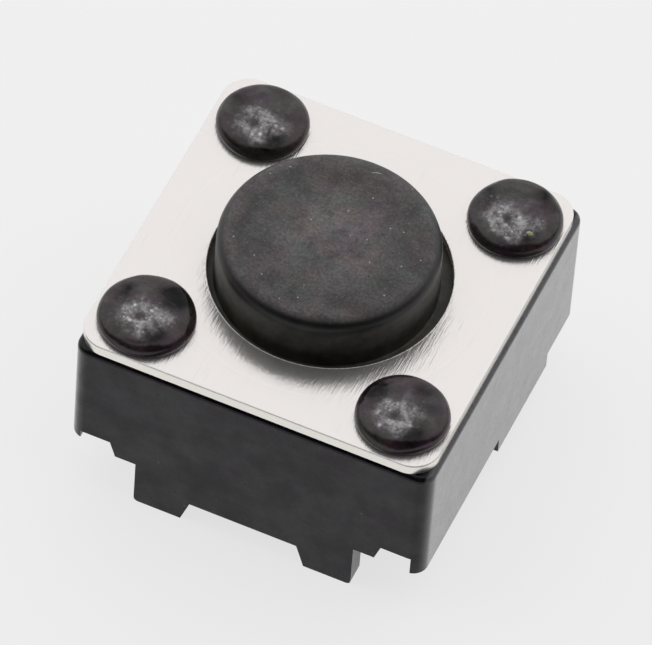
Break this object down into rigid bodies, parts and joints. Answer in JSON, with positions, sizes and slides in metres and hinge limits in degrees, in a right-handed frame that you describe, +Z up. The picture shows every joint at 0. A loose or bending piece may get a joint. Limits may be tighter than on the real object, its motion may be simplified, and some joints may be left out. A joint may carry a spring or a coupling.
{
  "type": "tactile push button switch",
  "caption": "Square board-mount tactile push button switch with a round plunger, a metal cover held by heat stakes and folded solder terminals.",
  "frame": {"origin": "middle of the seating plane, where the feet and the solder faces lie on the board", "axes": "+Z up out of the board, along the plunger; -Y is the front wall with two feet; +X to the right"},
  "size_m": [0.006, 0.006, 0.0042],
  "materials": {
    "housing_plastic": "matte moulded black plastic, satin on the formed stake heads",
    "cover_steel": "sheet steel brushed from front to back, polished at the edge",
    "plunger_plastic": "fine matte black plastic",
    "dome_steel": "spring steel, smooth",
    "contact_metal": "silver-plated brass, satin"
  },
  "bodies": {
    "root": {"base": "housing_plastic", "cover_plate": "cover_steel", "snap_dome": "dome_steel", "outer_contact_frame": "contact_metal", "centre_contact_frame": "contact_metal"},
    "button": {"plunger": "plunger_plastic"}
  },
  "joints": [
    {"name": "button_press", "type": "slide", "parent": "root", "child": "button", "axis": [0, 0, -1], "range_m": [0, 0.00025], "stiffness_N_per_m": 6300, "deforming": ["snap_dome"]}
  ]
}
